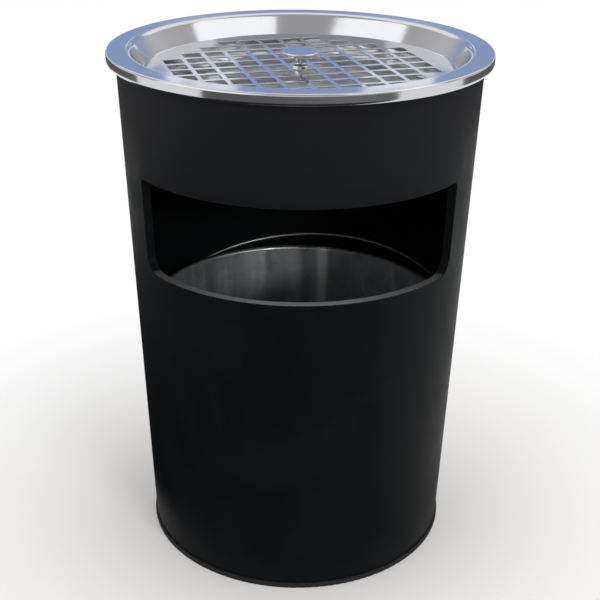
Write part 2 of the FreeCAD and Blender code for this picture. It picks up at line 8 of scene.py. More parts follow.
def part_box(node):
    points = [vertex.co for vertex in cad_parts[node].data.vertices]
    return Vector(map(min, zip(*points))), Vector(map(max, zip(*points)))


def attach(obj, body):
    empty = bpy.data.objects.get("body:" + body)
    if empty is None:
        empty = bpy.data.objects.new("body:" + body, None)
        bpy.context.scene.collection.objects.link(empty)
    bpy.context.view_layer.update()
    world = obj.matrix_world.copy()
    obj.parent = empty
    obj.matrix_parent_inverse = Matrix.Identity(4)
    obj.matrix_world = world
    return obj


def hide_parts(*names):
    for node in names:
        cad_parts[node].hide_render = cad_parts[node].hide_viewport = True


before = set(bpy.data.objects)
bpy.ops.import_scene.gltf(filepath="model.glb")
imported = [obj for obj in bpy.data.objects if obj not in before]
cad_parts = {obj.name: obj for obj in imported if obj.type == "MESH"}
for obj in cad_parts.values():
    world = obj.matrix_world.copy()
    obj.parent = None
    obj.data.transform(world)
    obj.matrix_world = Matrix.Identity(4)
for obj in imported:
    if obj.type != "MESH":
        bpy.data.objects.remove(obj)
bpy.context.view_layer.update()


# Outer shell: the tapered body, rolled from thin steel sheet and seam welded at the back, with a
# hemmed top edge and the window's edge turned in. It is powder coated satin black inside and out. The
# outside is a lighter grey towards the top. Upward-facing coat, most of all the middle of the window's
# sill, is painted pale: a painted highlight of light from above, partly rubbed wear.
def add_node(tree, kind, inputs=None, **settings):
    """A shader node whose inputs are set to values or linked from other sockets."""
    made = tree.nodes.new(kind)
    for name, value in settings.items():
        setattr(made, name, value)
    for key, value in (inputs or {}).items():
        if isinstance(value, bpy.types.NodeSocket):
            tree.links.new(value, made.inputs[key])
        else:
            made.inputs[key].default_value = value
    return made


def surface_group(name, inputs, outputs):
    """An empty shader group with float inputs and outputs of the given names."""
    tree = bpy.data.node_groups.new(name, "ShaderNodeTree")
    tree.interface.new_socket("Place", in_out="INPUT", socket_type="NodeSocketVector")
    for socket, start in inputs.items():
        made = tree.interface.new_socket(socket, in_out="INPUT", socket_type="NodeSocketFloat")
        made.default_value = start
    for socket in outputs:
        tree.interface.new_socket(socket, in_out="OUTPUT", socket_type="NodeSocketFloat")
    return tree, tree.nodes.new("NodeGroupInput").outputs, tree.nodes.new("NodeGroupOutput").inputs


def finish_material(name):
    """A new material with its tree, its Principled BSDF and the object's own coordinates."""
    made = bpy.data.materials.new(name)
    made.use_nodes = True
    tree = made.node_tree
    place = tree.nodes.new("ShaderNodeTexCoord").outputs["Object"]
    return made, tree, tree.nodes["Principled BSDF"], place


def grouped(tree, group, place, **values):
    """The outputs of a shader group placed in a material with its own values."""
    made = tree.nodes.new("ShaderNodeGroup")
    made.node_tree = group
    tree.links.new(place, made.inputs["Place"])
    for key, value in values.items():
        made.inputs[key.replace("_", " ")].default_value = value
    return made.outputs


def calculated(tree, operation, *values):
    """The result of a Math node."""
    return add_node(tree, "ShaderNodeMath", dict(enumerate(values)), operation=operation).outputs[0]


def projected(tree, place, direction):
    """How far a place lies along a direction."""
    node = add_node(tree, "ShaderNodeVectorMath", {0: place, 1: direction}, operation="DOT_PRODUCT")
    return node.outputs["Value"]


def stretched(tree, place, stretch):
    """Coordinates scaled by a different amount along each axis."""
    return add_node(tree, "ShaderNodeVectorMath", {0: place, 1: stretch}, operation="MULTIPLY").outputs[0]


def split(tree, place):
    """The x, y and z of a vector."""
    return add_node(tree, "ShaderNodeSeparateXYZ", {0: place}).outputs


def noise(tree, place, scale, detail, **inputs):
    """A noise value."""
    inputs.update(Vector=place, Scale=scale, Detail=detail)
    return add_node(tree, "ShaderNodeTexNoise", inputs).outputs["Fac"]


def ranged(tree, value, low, high, start=0.0, end=1.0):
    """A value from start..end mapped to low..high."""
    node = add_node(tree, "ShaderNodeMapRange", {0: value, 1: start, 2: end, 3: low, 4: high})
    return node.outputs[0]


def blended(tree, share, first, second):
    """Two colours mixed by a share."""
    node = add_node(tree, "ShaderNodeMix", {0: share, 6: first, 7: second}, data_type="RGBA")
    return node.outputs[2]


def bumped(tree, height, depth):
    """A normal from a height, with the depth of a full step in metres."""
    return add_node(tree, "ShaderNodeBump", {"Height": height, "Distance": depth}).outputs["Normal"]


def link_finish(tree, shader, colour, roughness, normal=None):
    """Feeds a shader with its colour, roughness and normal."""
    tree.links.new(colour, shader.inputs["Base Color"])
    tree.links.new(roughness, shader.inputs["Roughness"])
    if normal is not None:
        tree.links.new(normal, shader.inputs["Normal"])


def dress(node_name, material):
    """Gives a CAD node its finished material."""
    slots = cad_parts[node_name].data.materials
    slots.clear()
    slots.append(material)


PEEL_DETAIL = 1.5
PEEL_FINENESS = 0.4
SMEAR_DETAIL = 5.0
SMEAR_FINENESS = 0.6
SMEAR_SWIRL = 0.8
SMEAR_FAINT = 0.35
SMEAR_FULL = 0.7
RUB_STRETCH = (260.0, 260.0, 9.0)
RUB_DETAIL = 3.0
RUB_FAINT = 0.58
RUB_FULL = 0.78
coat_surface, group_in, group_out = surface_group(
    "powder_coat_surface", {"Peel Size": 0.0022, "Smear Size": 0.09}, ("Peel", "Smear", "Rub")
)
peel_scale = calculated(coat_surface, "DIVIDE", 1.0, group_in["Peel Size"])
peel = noise(coat_surface, group_in["Place"], peel_scale, PEEL_DETAIL, Roughness=PEEL_FINENESS)
coat_surface.links.new(peel, group_out["Peel"])
smear_scale = calculated(coat_surface, "DIVIDE", 1.0, group_in["Smear Size"])
smear = noise(
    coat_surface, group_in["Place"], smear_scale, SMEAR_DETAIL,
    Roughness=SMEAR_FINENESS, Distortion=SMEAR_SWIRL,
)
coat_surface.links.new(ranged(coat_surface, smear, 0.0, 1.0, SMEAR_FAINT, SMEAR_FULL), group_out["Smear"])
rub = noise(coat_surface, stretched(coat_surface, group_in["Place"], RUB_STRETCH), 1.0, RUB_DETAIL)
coat_surface.links.new(ranged(coat_surface, rub, 0.0, 1.0, RUB_FAINT, RUB_FULL), group_out["Rub"])

COAT_BLACK = (0.0034, 0.0043, 0.0052, 1.0)
COAT_SMEARED = (0.0060, 0.0068, 0.0076, 1.0)
# Lighter grey for the outside of the coat towards the top.
COAT_HIGH_GREY = (0.0165, 0.0172, 0.0190, 1.0)
# Pale colour for upward-facing coat: a painted highlight of light from above, partly rubbed wear.
COAT_HIGHLIGHT_AND_RUB = (0.33, 0.33, 0.335, 1.0)
COAT_CLEAN_ROUGH = 0.44
COAT_SMEARED_ROUGH = 0.56
COAT_PEEL_DEPTH = 0.00006
COAT_SPECULAR = 0.05
SILL_TILTED = 0.85
SILL_LEVEL = 0.99
SILL_FULL_HIGHLIGHT_HALF = 0.04
SILL_HALF = 0.15
SILL_END_HIGHLIGHT_AND_RUB = 0.30
RUBBED_LEAST = 0.55
RUBBED_MOST = 0.95
COAT_GREY_FADED_HEIGHT = 0.42
COAT_GREY_FULL_HEIGHT = 0.55
COAT_GREY_MOST = 0.8
OUTWARD_FULL = 0.05
black_coat, tree, shader, place = finish_material("satin_black_coat")
coat = grouped(tree, coat_surface, place, Peel_Size=0.0026, Smear_Size=0.11)
facing = add_node(tree, "ShaderNodeNewGeometry").outputs["Normal"]
coat_parts = split(tree, place)
# Painted highlight on upward-facing coat, strongest in the sill's middle, mixed with a rubbed-wear pattern.
facing_up_highlight = ranged(tree, split(tree, facing)[2], 0.0, 1.0, SILL_TILTED, SILL_LEVEL)
worn_away = ranged(tree, coat["Rub"], RUBBED_LEAST, RUBBED_MOST)
aside = calculated(tree, "ABSOLUTE", coat_parts[0])
sill_middle_highlight_and_rub = ranged(tree, aside, 1.0, SILL_END_HIGHLIGHT_AND_RUB, SILL_FULL_HIGHLIGHT_HALF, SILL_HALF)
highlight_and_rub = calculated(tree, "MULTIPLY", calculated(tree, "MULTIPLY", facing_up_highlight, worn_away), sill_middle_highlight_and_rub)
# Outward-facing coat is blended to a lighter grey towards the top.
outside = ranged(tree, projected(tree, facing, place), 0.0, COAT_GREY_MOST, 0.0, OUTWARD_FULL)
high = ranged(tree, coat_parts[2], 0.0, 1.0, COAT_GREY_FADED_HEIGHT, COAT_GREY_FULL_HEIGHT)
coat_colour = blended(tree, coat["Smear"], COAT_BLACK, COAT_SMEARED)
coat_colour = blended(tree, calculated(tree, "MULTIPLY", outside, high), coat_colour, COAT_HIGH_GREY)
link_finish(
    tree, shader, blended(tree, highlight_and_rub, coat_colour, COAT_HIGHLIGHT_AND_RUB),
    ranged(tree, coat["Smear"], COAT_CLEAN_ROUGH, COAT_SMEARED_ROUGH),
    bumped(tree, coat["Peel"], COAT_PEEL_DEPTH),
)
shader.inputs["Specular IOR Level"].default_value = COAT_SPECULAR
dress("outer_shell", black_coat)

# Floor ring: a soft black channel that grips the shell's lower edge, so the can doesn't mark the floor.
# It is extruded, dull and a little dusty.
RING_BLACK = (0.0055, 0.0060, 0.0066, 1.0)
RING_DUSTY = (0.016, 0.016, 0.0155, 1.0)
RING_CLEAN_ROUGH = 0.5
RING_DUSTY_ROUGH = 0.75
RING_PEEL_DEPTH = 0.00004
RING_SPECULAR = 0.2
ring_rubber, tree, shader, place = finish_material("floor_ring_rubber")
ring = grouped(tree, coat_surface, place, Peel_Size=0.0009, Smear_Size=0.03)
link_finish(
    tree, shader, blended(tree, ring["Smear"], RING_BLACK, RING_DUSTY),
    ranged(tree, ring["Smear"], RING_CLEAN_ROUGH, RING_DUSTY_ROUGH),
    bumped(tree, ring["Peel"], RING_PEEL_DEPTH),
)
shader.inputs["Specular IOR Level"].default_value = RING_SPECULAR
dress("floor_ring", ring_rubber)

# Base pan: the pressed steel floor of the shell, with its flange turned down and its middle sunk. It is
# spot welded inside the shell and coated along with it.
dress("base_pan", black_coat)

# Liner: a bucket of galvanised sheet, its top edge rolled over a wire, its side lapped and soldered and
# its base crimped in. The ears are pressed from the same sheet and carry its bail. The zinc has faint
# spangle and vertical handling marks.
STREAK_STRETCH = (62.0, 62.0, 3.0)
STREAK_DETAIL = 4.0
STREAK_FAINT = 0.35
STREAK_FULL = 0.7
GRIME_SCALE = 28.0
GRIME_DETAIL = 6.0
GRIME_FAINT = 0.45
GRIME_FULL = 0.75
zinc_surface, group_in, group_out = surface_group(
    "zinc_surface", {"Spangle Size": 0.012}, ("Spangle", "Streak", "Grime")
)
spangle_scale = calculated(zinc_surface, "DIVIDE", 1.0, group_in["Spangle Size"])
spangle = add_node(
    zinc_surface, "ShaderNodeTexVoronoi",
    {"Vector": group_in["Place"], "Scale": spangle_scale, "Randomness": 1.0},
)
spangle_grey = add_node(zinc_surface, "ShaderNodeSeparateColor", {0: spangle.outputs["Color"]})
zinc_surface.links.new(spangle_grey.outputs[0], group_out["Spangle"])
streak = noise(zinc_surface, stretched(zinc_surface, group_in["Place"], STREAK_STRETCH), 1.0, STREAK_DETAIL)
zinc_surface.links.new(ranged(zinc_surface, streak, 0.0, 1.0, STREAK_FAINT, STREAK_FULL), group_out["Streak"])
grime = noise(zinc_surface, group_in["Place"], GRIME_SCALE, GRIME_DETAIL)
zinc_surface.links.new(ranged(zinc_surface, grime, 0.0, 1.0, GRIME_FAINT, GRIME_FULL), group_out["Grime"])

ZINC_PALE = (0.60, 0.625, 0.64, 1.0)
ZINC_DULL = (0.50, 0.52, 0.535, 1.0)
ZINC_GRIMY = (0.24, 0.235, 0.22, 1.0)
ZINC_GRIME_MOST = 0.45
ZINC_BRIGHT_ROUGH = 0.34
ZINC_STREAKED_ROUGH = 0.55
ZINC_SPANGLE_DEPTH = 0.00002
ZINC_METALLIC = 0.9
SOLDER_PALE = (0.82, 0.83, 0.84, 1.0)
SOLDER_ROUGH = 0.62
SEAM_AZIMUTH = math.radians(79.0)
SEAM_SOLID = 0.0035
SEAM_FADED = 0.0095
galvanised, tree, shader, place = finish_material("galvanised_sheet")
zinc = grouped(tree, zinc_surface, place, Spangle_Size=0.011)
sheet_colour = blended(tree, zinc["Spangle"], ZINC_DULL, ZINC_PALE)
grime_share = ranged(tree, zinc["Grime"], 0.0, ZINC_GRIME_MOST)
sheet_colour = blended(tree, grime_share, sheet_colour, ZINC_GRIMY)
across = (math.sin(SEAM_AZIMUTH), -math.cos(SEAM_AZIMUTH), 0.0)
towards = (math.cos(SEAM_AZIMUTH), math.sin(SEAM_AZIMUTH), 0.0)
off_seam = calculated(tree, "ABSOLUTE", projected(tree, place, across))
on_side = ranged(tree, projected(tree, place, towards), 0.0, 1.0, -SEAM_SOLID, SEAM_SOLID)
near_seam = ranged(tree, off_seam, 1.0, 0.0, SEAM_SOLID, SEAM_FADED)
solder = calculated(tree, "MULTIPLY", on_side, near_seam)
sheet_gloss = ranged(tree, zinc["Streak"], ZINC_BRIGHT_ROUGH, ZINC_STREAKED_ROUGH)
liner_gloss = add_node(tree, "ShaderNodeMix", {0: solder, 2: sheet_gloss, 3: SOLDER_ROUGH}, data_type="FLOAT")
link_finish(
    tree, shader, blended(tree, solder, sheet_colour, SOLDER_PALE), liner_gloss.outputs[0],
    bumped(tree, zinc["Spangle"], ZINC_SPANGLE_DEPTH),
)
shader.inputs["Metallic"].default_value = ZINC_METALLIC
for piece in ("liner_wall", "liner_rim_wire", "liner_base", "bail_ear_right", "bail_ear_left"):
    dress(piece, galvanised)

# Ear rivets: four solid steel rivets, two to each ear, with flat heads inside the liner and domed heads
# outside. They are zinc plated, and have dulled unevenly.
PLATE_BRIGHT = (0.62, 0.63, 0.65, 1.0)
PLATE_DULL = (0.42, 0.42, 0.42, 1.0)
PLATE_BRIGHT_ROUGH = 0.22
PLATE_DULL_ROUGH = 0.4
plated, tree, shader, place = finish_material("zinc_plated_steel")
plate = grouped(tree, zinc_surface, place, Spangle_Size=0.003)
link_finish(
    tree, shader, blended(tree, plate["Grime"], PLATE_BRIGHT, PLATE_DULL),
    ranged(tree, plate["Streak"], PLATE_BRIGHT_ROUGH, PLATE_DULL_ROUGH),
)
shader.inputs["Metallic"].default_value = 1.0
dress("ear_rivets", plated)

# Bail: one length of drawn wire, bent to a half hoop and headed inside each ear. It has gone dull, with
# a fine grain from drawing.
WIRE_GREY = (0.36, 0.365, 0.37, 1.0)
WIRE_DULL = (0.24, 0.24, 0.235, 1.0)
WIRE_FINE_ROUGH = 0.40
WIRE_COARSE_ROUGH = 0.46
drawn_wire, tree, shader, place = finish_material("drawn_wire")
wire = grouped(tree, zinc_surface, place, Spangle_Size=0.002)
link_finish(
    tree, shader, blended(tree, wire["Grime"], WIRE_GREY, WIRE_DULL),
    ranged(tree, wire["Spangle"], WIRE_FINE_ROUGH, WIRE_COARSE_ROUGH),
)
shader.inputs["Metallic"].default_value = 1.0
dress("bail_wire", drawn_wire)

# Ashtray dish: spun from sheet with a curled rim, a flat lip, a sloping mouth, a ledge and a bowl, and
# plated mirror bright. It has fine rings from polishing on the lathe and a film of ash in the bowl, and
# it drops over the shell's top edge.
def length_of(tree, vector):
    """The length of a vector."""
    return add_node(tree, "ShaderNodeVectorMath", {0: vector}, operation="LENGTH").outputs["Value"]


POLISH_DETAIL = 2.0
SMUDGE_DETAIL = 5.0
SMUDGE_SWIRL = 1.2
SMUDGE_FAINT = 0.4
SMUDGE_FULL = 0.72
SPECK_SCALE = 420.0
SPECK_DETAIL = 3.0
SPECK_FAINT = 0.66
SPECK_FULL = 0.74
bright_surface, group_in, group_out = surface_group(
    "polished_surface", {"Ring Pitch": 0.0006, "Smear Size": 0.06}, ("Rings", "Smear", "Specks")
)
parts = split(bright_surface, group_in["Place"])
flat_place = add_node(bright_surface, "ShaderNodeCombineXYZ", {0: parts[0], 1: parts[1], 2: 0.0}).outputs[0]
along = calculated(bright_surface, "SUBTRACT", length_of(bright_surface, flat_place), parts[2])
ring_count = calculated(bright_surface, "DIVIDE", along, group_in["Ring Pitch"])
ring_noise = add_node(
    bright_surface, "ShaderNodeTexNoise", {"W": ring_count, "Scale": 1.0, "Detail": POLISH_DETAIL},
    noise_dimensions="1D",
)
bright_surface.links.new(ring_noise.outputs["Fac"], group_out["Rings"])
smudge_scale = calculated(bright_surface, "DIVIDE", 1.0, group_in["Smear Size"])
smudge = noise(bright_surface, group_in["Place"], smudge_scale, SMUDGE_DETAIL, Distortion=SMUDGE_SWIRL)
smudge = ranged(bright_surface, smudge, 0.0, 1.0, SMUDGE_FAINT, SMUDGE_FULL)
bright_surface.links.new(smudge, group_out["Smear"])
speck = noise(bright_surface, group_in["Place"], SPECK_SCALE, SPECK_DETAIL)
speck = ranged(bright_surface, speck, 0.0, 1.0, SPECK_FAINT, SPECK_FULL)
bright_surface.links.new(speck, group_out["Specks"])

BRIGHT = (0.62, 0.63, 0.65, 1.0)
BRIGHT_SPECKED = (0.42, 0.41, 0.40, 1.0)
SPECK_MOST = 0.5
POLISH_DEPTH = 0.000003
BOWL_ASH_PALE = (0.70, 0.71, 0.73, 1.0)
BOWL_ASH_EDGE = 0.0100
BOWL_ASH_LEAST = 0.30
BOWL_ASH_MOST = 0.65
BOWL_DULLING = 0.004


def bright_plate(name, ring_pitch, smear_size, mirror, smeared, ash_top=None):
    """Mirror plate with polishing rings and smears, dulled by a film of ash below a height."""
    made, tree, shader, place = finish_material(name)
    bright = grouped(tree, bright_surface, place, Ring_Pitch=ring_pitch, Smear_Size=smear_size)
    colour = blended(tree, ranged(tree, bright["Specks"], 0.0, SPECK_MOST), BRIGHT, BRIGHT_SPECKED)
    gloss = ranged(tree, bright["Smear"], mirror, smeared)
    shader.inputs["Metallic"].default_value = 1.0
    if ash_top is not None:
        low = ranged(tree, split(tree, place)[2], 1.0, 0.0, ash_top - BOWL_ASH_EDGE, ash_top)
        cover = ranged(tree, bright["Smear"], BOWL_ASH_LEAST, BOWL_ASH_MOST)
        film = calculated(tree, "MULTIPLY", low, cover)
        colour = blended(tree, film, colour, BOWL_ASH_PALE)
        gloss = calculated(tree, "MULTIPLY_ADD", low, BOWL_DULLING, gloss)
        tree.links.new(ranged(tree, film, 1.0, 0.0), shader.inputs["Metallic"])
    link_finish(tree, shader, colour, gloss, bumped(tree, bright["Rings"], POLISH_DEPTH))
    return made


def rounded_path(points, rounds, steps=8):
    """A path of (radius, height) points with an arc at each inner corner that has a radius."""
    path = [Vector(points[0])]
    for before, corner, after, radius in zip(points, points[1:], points[2:], rounds):
        corner = Vector(corner)
        if radius == 0:
            path.append(corner)
            continue
        back = (Vector(before) - corner).normalized()
        ahead = (Vector(after) - corner).normalized()
        half = (math.pi - back.angle(ahead)) / 2
        middle = corner + (back + ahead).normalized() * radius / math.cos(half)
        first = (corner + back * radius * math.tan(half) - middle).normalized()
        last = (corner + ahead * radius * math.tan(half) - middle).normalized()
        path += [middle + first.slerp(last, step / steps) * radius for step in range(steps + 1)]
    path.append(Vector(points[-1]))
    return path


def beside(path, distance):
    """The path moved to its left by a distance."""
    moved = []
    for index, at in enumerate(path):
        heading = path[min(index + 1, len(path) - 1)] - path[max(index - 1, 0)]
        side = Vector((-heading.y, heading.x)).normalized()
        moved.append(at + side * distance)
    return moved


def circle_outline(radius, steps):
    """Points (x, y) of a circle about the can's axis."""
    angles = [2 * math.pi * step / steps for step in range(steps)]
    return [(radius * math.cos(a), radius * math.sin(a)) for a in angles]


SHARP_FOLD = math.radians(40.0)


def turned_piece(name, outline, segments):
    """A closed outline of (radius, height) points turned about the can's axis."""
    shape = bmesh.new()
    rings = []
    for radius, height in outline:
        if radius == 0:
            rings.append([shape.verts.new((0.0, 0.0, height))] * segments)
        else:
            rings.append([shape.verts.new((x, y, height)) for x, y in circle_outline(radius, segments)])
    for ring, other in zip(rings, rings[1:] + rings[:1]):
        for step in range(segments):
            nearby = (step + 1) % segments
            corners = dict.fromkeys((ring[step], ring[nearby], other[nearby], other[step]))
            if len(corners) > 2:
                shape.faces.new(corners)
    bmesh.ops.recalc_face_normals(shape, faces=shape.faces)
    mesh = bpy.data.meshes.new(name)
    shape.to_mesh(mesh)
    shape.free()
    mesh.shade_smooth()
    mesh.set_sharp_from_angle(angle=SHARP_FOLD)
    piece = bpy.data.objects.new(name, mesh)
    bpy.context.scene.collection.objects.link(piece)
    piece.modifiers.new("even_shading", "WEIGHTED_NORMAL").keep_sharp = True
    return piece


DISH_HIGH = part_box("ashtray_dish")[1]
DISH_TOP = DISH_HIGH[2]
DISH_SHEET = 0.0010
DISH_SEGMENTS = 192
RIM_RADIUS = DISH_HIGH[0]
RIM_CURL_WIDTH = 0.0070
RIM_SKIRT = 0.0125
RIM_CURL_RISE = 0.0050
RIM_CURL_INNER_ROUND = 0.0022
RIM_CURL_ROUND = 0.0046
RIM_EDGE_ROUND = 0.0022
LIP_WIDTH = 0.0235
MOUTH_ROUND = 0.0070
MOUTH_SLOPE = 0.0125
LEDGE_DEPTH = 0.0228
LEDGE_WIDTH = 0.0110
LEDGE_ROUND = 0.0025
BOWL_SLOPE = 0.0070
BOWL_DEPTH = 0.0480
BOWL_ROUND = 0.0140
curl_radius = RIM_RADIUS - RIM_CURL_WIDTH
mouth_radius = RIM_RADIUS - LIP_WIDTH
ledge_radius = mouth_radius - MOUTH_SLOPE
well_radius = ledge_radius - LEDGE_WIDTH
bowl_radius = well_radius - BOWL_SLOPE
skirt_low = DISH_TOP - RIM_SKIRT
ledge_height = DISH_TOP - LEDGE_DEPTH
bowl_floor = DISH_TOP - BOWL_DEPTH
dish_path = rounded_path(
    [
        (curl_radius, skirt_low + RIM_CURL_RISE),
        (curl_radius, skirt_low),
        (RIM_RADIUS, skirt_low),
        (RIM_RADIUS, DISH_TOP),
        (mouth_radius, DISH_TOP),
        (ledge_radius, ledge_height),
        (well_radius, ledge_height),
        (bowl_radius, bowl_floor),
        (0.0, bowl_floor),
    ],
    [
        RIM_CURL_INNER_ROUND, RIM_CURL_ROUND, RIM_EDGE_ROUND, MOUTH_ROUND,
        LEDGE_ROUND, LEDGE_ROUND, BOWL_ROUND,
    ],
)
dish = turned_piece("bright_dish", dish_path + beside(dish_path, DISH_SHEET)[::-1], DISH_SEGMENTS)
dish.data.materials.append(bright_plate(
    "bright_dish_plate", ring_pitch=0.0007, smear_size=0.07, mirror=0.10, smeared=0.17, ash_top=ledge_height,
))
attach(dish, "ashtray")
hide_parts("ashtray_dish")

# Ashtray grid: a disc of sheet punched with rows of square holes, its edges softened by the plating.
# It lies loose on the dish's ledge, turned a little.
GRID_LOW, GRID_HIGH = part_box("ashtray_grid")
GRID_RADIUS = GRID_HIGH[0]
GRID_EDGE_STEPS = 192
GRID_HOLE = 0.0200
GRID_HOLE_CORNER = 0.0016
GRID_HOLE_CORNER_STEPS = 4
GRID_PITCH = 0.0250
GRID_TURN = math.radians(16.0)
GRID_BORDER = 0.0070
GRID_SEAT_RADIUS = 0.0140
GRID_SCREW_HOLE = 0.0026
GRID_SCREW_HOLE_STEPS = 24
GRID_SOFT_EDGE = 0.0003
GRID_SOFT_EDGE_STEPS = 2


def closed_outline(curve, points):
    """Adds a closed outline of (x, y) points to a flat curve."""
    spline = curve.splines.new("POLY")
    spline.points.add(len(points) - 1)
    for spot, (x, y) in zip(spline.points, points):
        spot.co = (x, y, 0.0, 1.0)
    spline.use_cyclic_u = True


grid_curve = bpy.data.curves.new("bright_grid", "CURVE")
grid_curve.dimensions = "2D"
grid_curve.fill_mode = "BOTH"
grid_thickness = GRID_HIGH[2] - GRID_LOW[2]
grid_curve.extrude = grid_thickness / 2 - GRID_SOFT_EDGE
grid_curve.bevel_depth = GRID_SOFT_EDGE
grid_curve.bevel_resolution = GRID_SOFT_EDGE_STEPS
grid_curve.offset = -GRID_SOFT_EDGE
closed_outline(grid_curve, circle_outline(GRID_RADIUS, GRID_EDGE_STEPS))
closed_outline(grid_curve, circle_outline(GRID_SCREW_HOLE, GRID_SCREW_HOLE_STEPS))
half_hole = GRID_HOLE / 2
hole_path = rounded_path(
    [
        (0.0, -half_hole), (half_hole, -half_hole), (half_hole, half_hole),
        (-half_hole, half_hole), (-half_hole, -half_hole), (0.0, -half_hole),
    ],
    [GRID_HOLE_CORNER] * 4, steps=GRID_HOLE_CORNER_STEPS,
)[:-1]
turn = Matrix.Rotation(GRID_TURN, 2)
grid_reach = int(GRID_RADIUS / GRID_PITCH) + 1
for column in range(-grid_reach, grid_reach + 1):
    for row in range(-grid_reach, grid_reach + 1):
        middle = Vector((column * GRID_PITCH, row * GRID_PITCH))
        far_corner = math.hypot(abs(middle.x) + half_hole, abs(middle.y) + half_hole)
        if far_corner <= GRID_RADIUS - GRID_BORDER and middle.length - half_hole >= GRID_SEAT_RADIUS:
            closed_outline(grid_curve, [turn @ (middle + spot) for spot in hole_path])
grid = bpy.data.objects.new("bright_grid", grid_curve)
grid.location.z = (GRID_LOW[2] + GRID_HIGH[2]) / 2
bpy.context.scene.collection.objects.link(grid)
grid_curve.materials.append(bright_plate(
    "bright_grid_plate", ring_pitch=0.0011, smear_size=0.05, mirror=0.09, smeared=0.17,
))
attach(grid, "grid")
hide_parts("ashtray_grid")

# Knob: turned from bar with a flat cap, a waisted stem and a foot, and plated. It lifts the grid, and is
# held from below by a screw with a washer.
KNOB_LOW, KNOB_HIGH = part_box("grid_knob")
KNOB_RADIUS = KNOB_HIGH[0]
KNOB_SEGMENTS = 96
KNOB_CAP_THICKNESS = 0.0046
KNOB_CAP_ROUND = 0.0012
KNOB_STEM_RADIUS = 0.0070
KNOB_FOOT_RADIUS = 0.0110
KNOB_FOOT_HEIGHT = 0.0022
KNOB_FOOT_ROUND = 0.0011
KNOB_NECK_ROUND = 0.0024
KNOB_DRILLING = 0.0081
knob_foot, knob_top = KNOB_LOW[2], KNOB_HIGH[2]
foot_high = knob_foot + KNOB_FOOT_HEIGHT
cap_low = knob_top - KNOB_CAP_THICKNESS
knob_path = rounded_path(
    [
        (0.0, knob_foot + KNOB_DRILLING),
        (GRID_SCREW_HOLE, knob_foot + KNOB_DRILLING),
        (GRID_SCREW_HOLE, knob_foot),
        (KNOB_FOOT_RADIUS, knob_foot),
        (KNOB_FOOT_RADIUS, foot_high),
        (KNOB_STEM_RADIUS, foot_high),
        (KNOB_STEM_RADIUS, cap_low),
        (KNOB_RADIUS, cap_low),
        (KNOB_RADIUS, knob_top),
        (0.0, knob_top),
    ],
    [0, 0, 0, KNOB_FOOT_ROUND, KNOB_NECK_ROUND, KNOB_NECK_ROUND, KNOB_CAP_ROUND, KNOB_CAP_ROUND],
)
knob = turned_piece("bright_knob", knob_path, KNOB_SEGMENTS)
knob.data.materials.append(bright_plate(
    "bright_knob_plate", ring_pitch=0.0005, smear_size=0.03, mirror=0.08, smeared=0.14,
))
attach(knob, "grid")
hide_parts("grid_knob")
dress("knob_washer", plated)
dress("knob_screw", plated)

# Floor: a plain pale studio floor that turns up at its far edge, so it fills the picture behind the can
# from low angles too. It goes white away from the can and keeps the can's shadow.
FLOOR_RADIUS = 24.0
FLOOR_SEGMENTS = 96
FLOOR_EDGE_RISE = 2.4
FLOOR_PALE = (0.96, 0.945, 0.92, 1.0)
FLOOR_ROUGH = 0.9
FLOOR_SPECULAR = 0.1
FLOOR_WHITE = (1.0, 1.0, 1.0, 1.0)
FLOOR_WHITE_FROM = 0.22
FLOOR_WHITE_AT = 0.62
floor_mesh = bpy.data.meshes.new("studio_floor")
shape = bmesh.new()
bmesh.ops.create_circle(shape, cap_ends=True, segments=FLOOR_SEGMENTS, radius=FLOOR_RADIUS)
turned_up = bmesh.ops.extrude_edge_only(shape, edges=[edge for edge in shape.edges if edge.is_boundary])
edge_corners = [corner for corner in turned_up["geom"] if isinstance(corner, bmesh.types.BMVert)]
bmesh.ops.translate(shape, verts=edge_corners, vec=(0.0, 0.0, FLOOR_EDGE_RISE))
shape.to_mesh(floor_mesh)
shape.free()
floor = bpy.data.objects.new("studio_floor", floor_mesh)
bpy.context.scene.collection.objects.link(floor)
floor_paint, tree, shader, place = finish_material("pale_floor")
shader.inputs["Base Color"].default_value = FLOOR_PALE
shader.inputs["Roughness"].default_value = FLOOR_ROUGH
shader.inputs["Specular IOR Level"].default_value = FLOOR_SPECULAR
ray = tree.nodes.new("ShaderNodeLightPath").outputs
seen = calculated(tree, "ADD", ray["Is Camera Ray"], ray["Is Glossy Ray"])
seen = add_node(
    tree, "ShaderNodeMath", {0: seen, 1: ray["Is Transmission Ray"]}, operation="ADD", use_clamp=True
).outputs[0]
far = ranged(tree, length_of(tree, place), 0.0, 1.0, FLOOR_WHITE_FROM, FLOOR_WHITE_AT)
white_share = calculated(tree, "MULTIPLY", far, seen)
white = add_node(tree, "ShaderNodeEmission", {"Color": FLOOR_WHITE, "Strength": 1.0})
floor_look = add_node(
    tree, "ShaderNodeMixShader", {0: white_share, 1: shader.outputs["BSDF"], 2: white.outputs["Emission"]}
)
tree.links.new(floor_look.outputs[0], tree.nodes["Material Output"].inputs["Surface"])
floor_mesh.materials.append(floor_paint)

# Flags: boards that only the gloss shows. Black ones lie on the floor in front and on the left, to keep
# the black coat black, and grey ones lie further out and stand behind, to keep the bright rim lively.
# A last one also casts a shadow, and keeps the lamp of the window off the dish.
FLAG_STEP = math.radians(5.0)
FLAG_BLACK = (0.03, 0.03, 0.032, 1.0)
FLAG_GREY = (0.14, 0.14, 0.145, 1.0)
FLAG_ROUGH = 0.9
FLAG_LIFT = 0.004


def flag_cloth(name, colour):
    """Matt cloth of one colour."""
    made, _, shader, _ = finish_material(name)
    shader.inputs["Base Color"].default_value = colour
    shader.inputs["Roughness"].default_value = FLAG_ROUGH
    shader.inputs["Specular IOR Level"].default_value = 0.0
    return made


